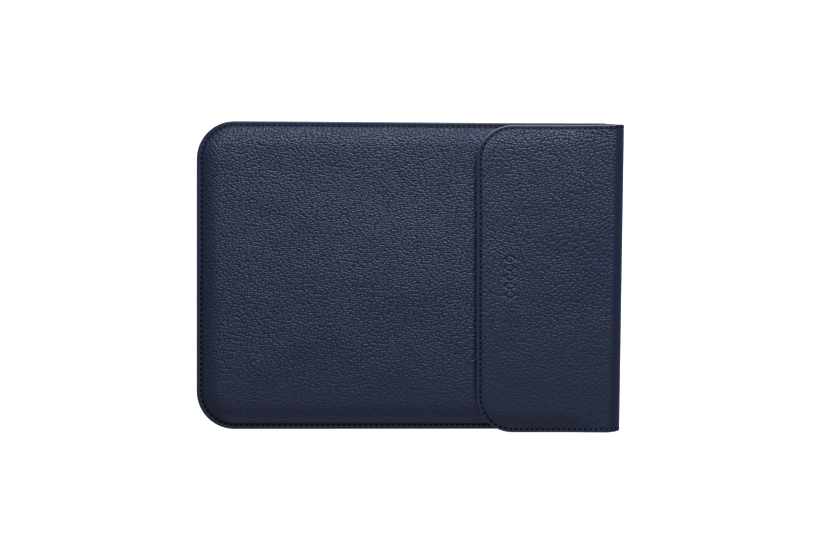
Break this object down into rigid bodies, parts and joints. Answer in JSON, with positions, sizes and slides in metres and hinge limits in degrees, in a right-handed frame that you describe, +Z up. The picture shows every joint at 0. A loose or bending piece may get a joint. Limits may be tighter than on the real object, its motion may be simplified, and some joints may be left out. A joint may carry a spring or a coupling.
{
  "type": "laptop sleeve",
  "caption": "Flat padded leather pocket for a slim 13-inch laptop, open at one short end, which a folded-over leather flap closes with hidden magnets.",
  "frame": {"origin": "centre of the closed sleeve's outline, on the surface that its back lies on", "axes": "+X along the sleeve towards the mouth and the flap's fold, +Y across it, +Z up out of the front"},
  "size_m": [0.331, 0.24, 0.0214],
  "materials": {
    "leather": "pebbled, navy, soft sheen",
    "lining": "microsuede",
    "padding": "felted foam",
    "stiffener": "matt",
    "thread": "waxed thread",
    "magnet": "nickel plated"
  },
  "bodies": {
    "sleeve": {"back_leather": "leather", "back_padding": "padding", "back_lining": "lining", "back_mouth_strip": "stiffener", "flap_lining_root": "lining", "front_leather": "leather", "front_padding": "padding", "front_lining": "lining", "front_mouth_strip": "stiffener", "seam_needle_thread": "thread", "seam_bobbin_thread": "thread", "mouth_needle_thread": "thread", "mouth_bobbin_thread": "thread", "panel_magnet_far": "magnet", "panel_magnet_near": "magnet"},
    "fold_lower": {"fold_leather_lower": "leather", "fold_lining_lower": "lining", "fold_needle_thread_lower": "thread", "fold_bobbin_thread_lower": "thread"},
    "fold_middle": {"fold_leather_middle": "leather", "fold_lining_middle": "lining", "fold_needle_thread_middle": "thread", "fold_bobbin_thread_middle": "thread"},
    "fold_upper": {"fold_leather_upper": "leather", "fold_lining_upper": "lining", "fold_needle_thread_upper": "thread", "fold_bobbin_thread_upper": "thread"},
    "flap": {"flap_leather": "leather", "flap_padding": "padding", "flap_lining": "lining", "flap_needle_thread": "thread", "flap_bobbin_thread": "thread", "flap_magnet_far": "magnet", "flap_magnet_near": "magnet"}
  },
  "joints": [
    {"name": "flap_fold_1", "type": "hinge", "parent": "sleeve", "child": "fold_lower", "pos_m": [0.15898, 0, 0.0006], "axis": [0, 1, 0], "range_deg": [0, 45]},
    {"name": "flap_fold_2", "type": "hinge", "parent": "fold_lower", "child": "fold_middle", "pos_m": [0.1649, 0, 0.00652], "axis": [0, 1, 0], "range_deg": [0, 45]},
    {"name": "flap_fold_3", "type": "hinge", "parent": "fold_middle", "child": "fold_upper", "pos_m": [0.1649, 0, 0.01488], "axis": [0, 1, 0], "range_deg": [0, 45]},
    {"name": "flap_fold_4", "type": "hinge", "parent": "fold_upper", "child": "flap", "pos_m": [0.15898, 0, 0.0208], "axis": [0, 1, 0], "range_deg": [0, 45]}
  ],
  "couplings": [
    {"joint": "flap_fold_2", "follows": "flap_fold_1", "ratio": 1},
    {"joint": "flap_fold_3", "follows": "flap_fold_1", "ratio": 1},
    {"joint": "flap_fold_4", "follows": "flap_fold_1", "ratio": 1}
  ]
}
